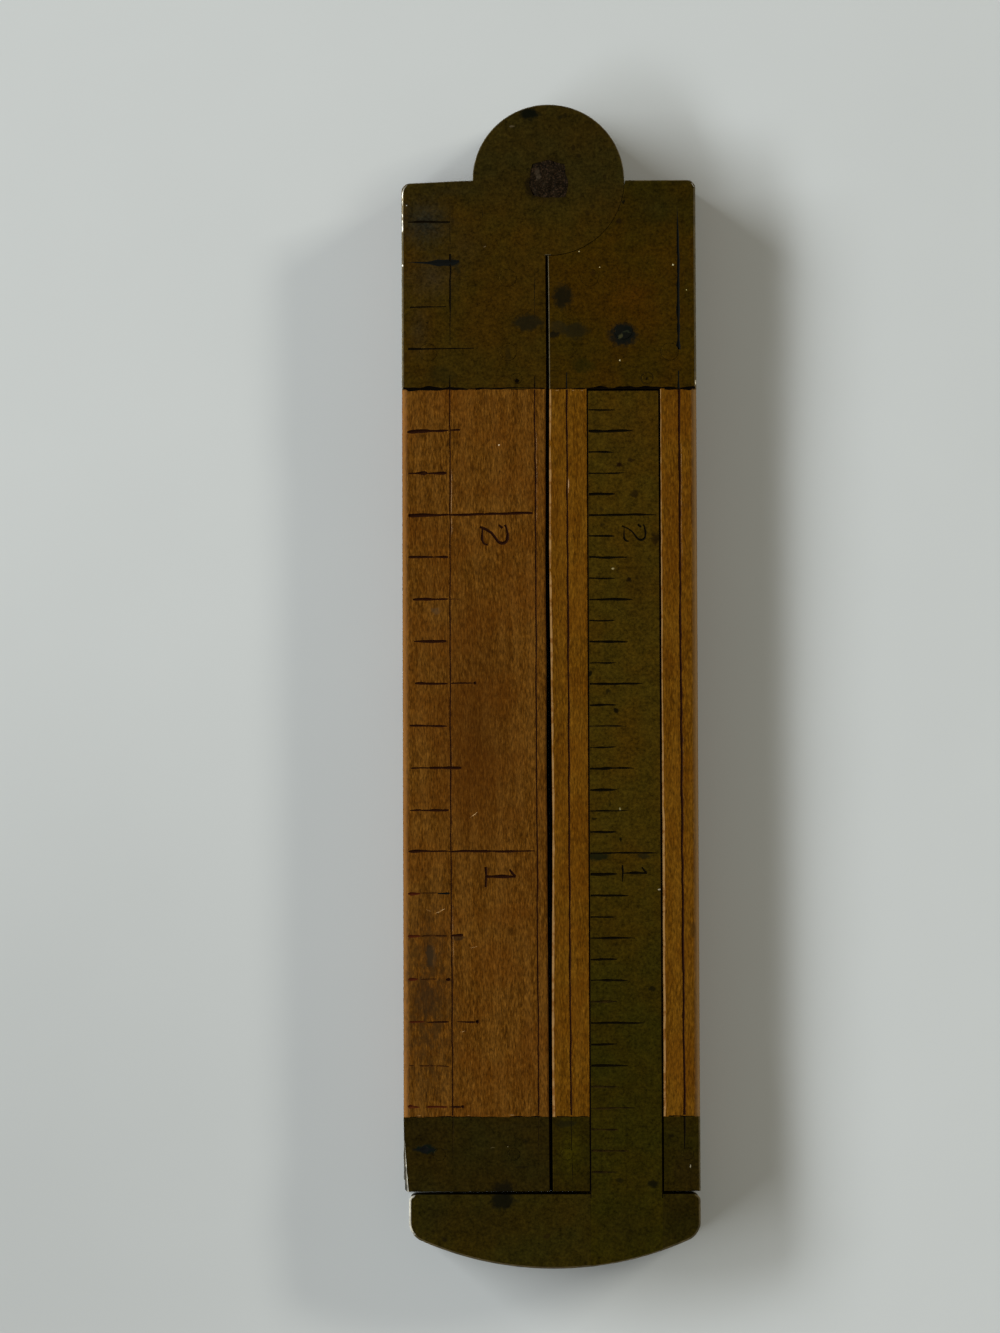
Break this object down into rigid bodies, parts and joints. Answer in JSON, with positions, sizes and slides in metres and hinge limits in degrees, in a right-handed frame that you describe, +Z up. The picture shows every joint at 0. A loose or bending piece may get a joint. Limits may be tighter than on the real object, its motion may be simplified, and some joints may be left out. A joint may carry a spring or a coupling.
{
  "type": "folding caliper rule",
  "caption": "Folding wooden measuring rule with a brass disc joint, brass tips and a sliding brass caliper jaw in one leg.",
  "frame": {"origin": "on the face the folded rule lies on, under the middle of its length and width", "axes": "+X across the legs towards the caliper leg, +Y along the legs towards the joint, +Z up out of the scale side"},
  "size_m": [0.0222, 0.0878, 0.0048],
  "materials": {
    "boxwood": "aged varnished boxwood, fine straight grain along the legs, darkened by handling",
    "aged_brass": "dull aged brass, brown and green patina, edges worn brighter",
    "joint_steel": "dull worn steel",
    "pin_iron": "brown rusted iron, pitted"
  },
  "bodies": {
    "caliper_leg": {"caliper_leg_stock": "boxwood", "caliper_leg_front_plate": "aged_brass", "caliper_leg_back_plate": "aged_brass", "caliper_leg_front_leaf": "joint_steel", "caliper_leg_back_leaf": "joint_steel", "caliper_leg_rivets": "aged_brass", "caliper_leg_brads": "aged_brass", "caliper_leg_tip": "aged_brass", "caliper_leg_tip_pins": "aged_brass"},
    "plain_leg": {"plain_leg_stock": "boxwood", "plain_leg_front_plate": "aged_brass", "plain_leg_back_plate": "aged_brass", "plain_leg_centre_leaf": "aged_brass", "plain_leg_rivets": "aged_brass", "plain_leg_brads": "aged_brass", "plain_leg_tip": "aged_brass", "plain_leg_tip_pins": "aged_brass", "hinge_pin": "pin_iron"},
    "caliper": {"caliper_slide": "aged_brass", "caliper_jaw": "aged_brass"}
  },
  "joints": [
    {"name": "leg_hinge", "type": "hinge", "parent": "caliper_leg", "child": "plain_leg", "pos_m": [0, 0.03812, 0.00238], "axis": [0, 0, 1], "range_deg": [-180, 0]},
    {"name": "caliper_travel", "type": "slide", "parent": "caliper_leg", "child": "caliper", "axis": [0, -1, 0], "range_m": [0, 0.0508]}
  ]
}
